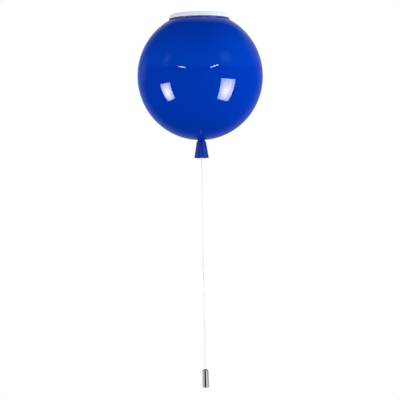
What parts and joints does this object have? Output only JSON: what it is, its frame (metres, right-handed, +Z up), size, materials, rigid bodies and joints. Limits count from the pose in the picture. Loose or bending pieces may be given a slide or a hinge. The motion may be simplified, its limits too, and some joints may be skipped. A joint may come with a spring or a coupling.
{
  "type": "balloon ceiling light with pull cord",
  "caption": "Flush ceiling light whose blue globe and fluted neck look like a party balloon, switched by a white pull cord with a chrome weight.",
  "frame": {"origin": "on the light's own axis, in the plane of the ceiling that the bracket and the ring rest against", "axes": "+Z up into the ceiling, so that the light hangs below the origin; -Y the front; +X the right-hand side seen from the front"},
  "size_m": [0.25, 0.25, 0.743],
  "materials": {
    "globe_blue": "polished acrylic, coloured through",
    "neck_blue": "moulded, semi-gloss",
    "ring_white": "satin white powder coat",
    "zinc_steel": "bright zinc plate",
    "spring_steel": "tempered strip and wire",
    "brass": "machined brass",
    "block_white": "moulded polyamide",
    "switch_plastic": "moulded phenolic",
    "switch_inner": "natural acetal",
    "holder_plastic": "moulded white, heat-resistant",
    "ceramic": "unglazed steatite",
    "nickel": "nickel plate",
    "lamp_insulator": "black vitrite",
    "lamp_housing": "moulded white",
    "lamp_diffuser": "frosted polycarbonate",
    "led_board": "white solder mask",
    "rubber_black": "soft sealing rubber",
    "wire_brown": "insulated wire",
    "wire_blue": "insulated wire",
    "wire_green": "insulated wire",
    "cord_white": "braided polyester",
    "weight_chrome": "polished chrome plate"
  },
  "bodies": {
    "canopy": {"ceiling_bracket": "zinc_steel", "bracket_studs": "zinc_steel", "stud_washers": "zinc_steel", "cap_nuts": "zinc_steel", "canopy_pan": "ring_white", "spring_clips": "spring_steel", "clip_rivets": "zinc_steel", "terminal_block": "block_white", "terminal_inserts": "brass", "terminal_screws": "brass", "terminal_block_screw": "zinc_steel", "earth_tag": "brass", "earth_washer": "zinc_steel", "earth_screw": "zinc_steel", "earth_nut": "zinc_steel", "holder_body": "holder_plastic", "holder_insert": "ceramic", "holder_screws": "zinc_steel", "holder_terminals": "brass", "screw_shell": "nickel", "centre_contact": "brass", "switch_housing": "switch_plastic", "switch_cover": "switch_plastic", "fixed_contacts": "brass", "switch_nozzle": "brass", "nozzle_washer": "zinc_steel", "nozzle_nut": "zinc_steel", "return_spring": "spring_steel", "live_wire": "wire_brown", "switched_wire": "wire_brown", "neutral_wire": "wire_blue", "earth_wire": "wire_green"},
    "shade": {"globe": "globe_blue", "neck_gasket": "rubber_black", "balloon_neck": "neck_blue", "bushing_washer": "rubber_black", "cord_bushing": "brass"},
    "bulb": {"bulb_tip": "nickel", "bulb_insulator": "lamp_insulator", "bulb_cap": "nickel", "bulb_housing": "lamp_housing", "bulb_diffuser": "lamp_diffuser", "led_board": "led_board"},
    "pull": {"switch_shuttle": "switch_inner", "cord_ferrule": "brass", "pull_cord": "cord_white", "cord_weight": "weight_chrome", "end_knot": "cord_white", "weight_plug": "weight_chrome"},
    "rotor": {"switch_rotor": "switch_inner", "rotor_contact": "brass"}
  },
  "joints": [
    {"name": "shade_drop", "type": "slide", "parent": "canopy", "child": "shade", "axis": [0, 0, -1], "range_m": [0, 0.3], "deforming": ["spring_clips"]},
    {"name": "bulb_withdraw", "type": "slide", "parent": "canopy", "child": "bulb", "axis": [0, 0, -1], "range_m": [0, 0.04]},
    {"name": "cord_pull", "type": "slide", "parent": "canopy", "child": "pull", "axis": [0, 0, -1], "range_m": [0, 0.0055], "stiffness_N_per_m": 600, "springref_m": -0.008, "deforming": ["return_spring"]},
    {"name": "rotor_turn", "type": "hinge", "parent": "canopy", "child": "rotor", "pos_m": [0.0125, 0, -0.0173], "axis": [0, 1, 0], "range_deg": [-45, 0]}
  ],
  "couplings": [
    {"joint": "rotor_turn", "follows": "cord_pull", "rad_per_m": -142.75}
  ]
}
